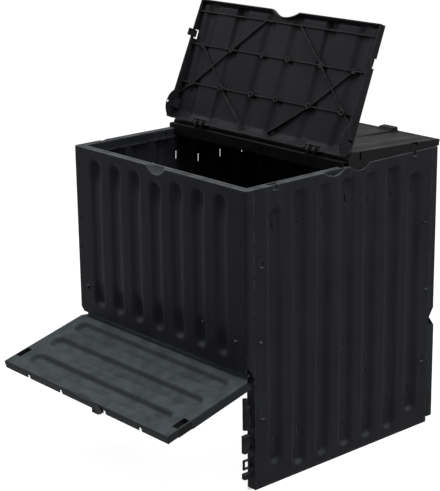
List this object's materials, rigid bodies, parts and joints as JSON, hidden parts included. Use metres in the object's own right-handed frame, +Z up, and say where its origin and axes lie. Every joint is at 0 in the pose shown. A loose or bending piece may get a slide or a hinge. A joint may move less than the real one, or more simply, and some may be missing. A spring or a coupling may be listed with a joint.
{
  "type": "compost bin with lid",
  "caption": "Square ribbed plastic compost bin, open below, with a two-part hinged lid on a bar across the rim and a lift-up flap at the foot of the front and of the rear.",
  "frame": {"origin": "centre of the bin's square footprint, on the ground", "axes": "+X to the right seen from the front, along the flaps' and lids' hinges; +Y from the front towards the rear; +Z up"},
  "size_m": [0.7, 0.9669, 1.1464],
  "materials": {
    "panel_plastic": "satin",
    "flap_plastic": "satin",
    "lid_plastic": "satin",
    "bar_plastic": "satin",
    "stud_plastic": "satin",
    "pin_plastic": "satin"
  },
  "bodies": {
    "bin": {"right_panel": "panel_plastic", "left_panel": "panel_plastic", "front_panel": "panel_plastic", "rear_panel": "panel_plastic", "hinge_bar": "bar_plastic", "front_flap_pin_right": "pin_plastic", "front_flap_pin_left": "pin_plastic", "rear_flap_pin_right": "pin_plastic", "rear_flap_pin_left": "pin_plastic", "front_lid_pin_right": "pin_plastic", "front_lid_pin_left": "pin_plastic", "rear_lid_pin_right": "pin_plastic", "rear_lid_pin_left": "pin_plastic"},
    "front_lid": {"front_lid": "lid_plastic"},
    "rear_lid": {"rear_lid": "lid_plastic"},
    "front_flap": {"front_flap": "flap_plastic", "front_flap_stud": "stud_plastic"},
    "rear_flap": {"rear_flap": "flap_plastic", "rear_flap_stud": "stud_plastic"}
  },
  "joints": [
    {"name": "front_lid_hinge", "type": "hinge", "parent": "bin", "child": "front_lid", "pos_m": [0, -0.004, 0.818], "axis": [1, 0, 0], "range_deg": [0, 114]},
    {"name": "rear_lid_hinge", "type": "hinge", "parent": "bin", "child": "rear_lid", "pos_m": [0, 0.004, 0.818], "axis": [1, 0, 0], "range_deg": [0, 28]},
    {"name": "front_flap_hinge", "type": "hinge", "parent": "bin", "child": "front_flap", "pos_m": [0, -0.338, 0.294], "axis": [1, 0, 0], "range_deg": [-14.8, 75.2]},
    {"name": "rear_flap_hinge", "type": "hinge", "parent": "bin", "child": "rear_flap", "pos_m": [0, 0.338, 0.294], "axis": [1, 0, 0], "range_deg": [0, 90]}
  ]
}
